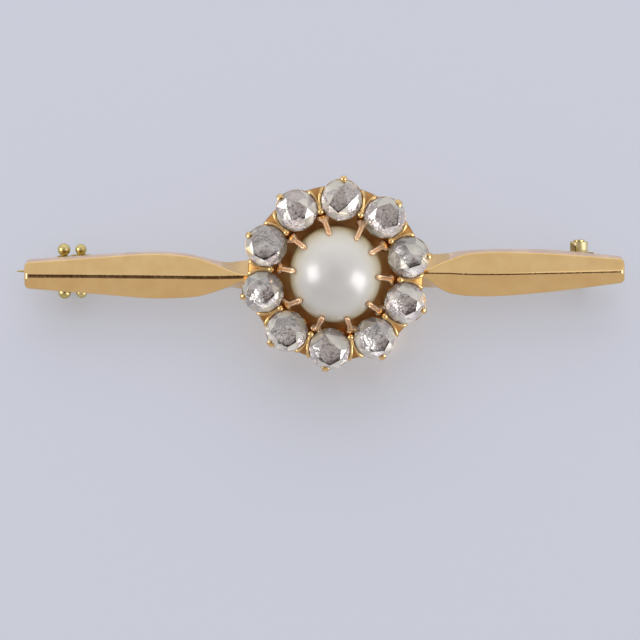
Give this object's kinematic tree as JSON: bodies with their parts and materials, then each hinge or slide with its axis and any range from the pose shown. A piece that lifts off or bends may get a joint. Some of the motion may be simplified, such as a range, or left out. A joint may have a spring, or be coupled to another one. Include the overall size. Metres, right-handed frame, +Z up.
{
  "type": "cluster brooch",
  "caption": "Gold bar brooch with a pearl in a ring of claw-set rose-cut stones, a hinged pin and a turning safety catch.",
  "frame": {"origin": "on the floor, under the middle of the brooch's box, as it rests on its back", "axes": "+X along the bar towards the hinge, +Z up from the floor, +Y towards the edge of the cluster that is raised by the catch"},
  "size_m": [0.0464, 0.0144, 0.0105],
  "materials": {
    "yellow_gold": "polished, slightly worn yellow gold",
    "pearl": "lustrous off-white pearl",
    "stone": "rose-cut, pale grey-pink, over foil"
  },
  "bodies": {
    "brooch": {"gold_mount": "yellow_gold", "pearl": "pearl", "stone_01": "stone", "stone_02": "stone", "stone_03": "stone", "stone_04": "stone", "stone_05": "stone", "stone_06": "stone", "stone_07": "stone", "stone_08": "stone", "stone_09": "stone", "stone_10": "stone", "hinge_rivet": "yellow_gold"},
    "pin": {"pin_stem": "yellow_gold"},
    "ring": {"safety_ring": "yellow_gold"}
  },
  "joints": [
    {"name": "pin_hinge", "type": "hinge", "parent": "brooch", "child": "pin", "pos_m": [0.01997, 0.00177, 0.00111], "axis": [0, -0.9411, -0.3382], "range_deg": [0, 75]},
    {"name": "ring_turn", "type": "hinge", "parent": "brooch", "child": "ring", "pos_m": [-0.01955, 0.00171, 0.0013], "axis": [-1, 0, 0], "range_deg": [0, 45]}
  ]
}
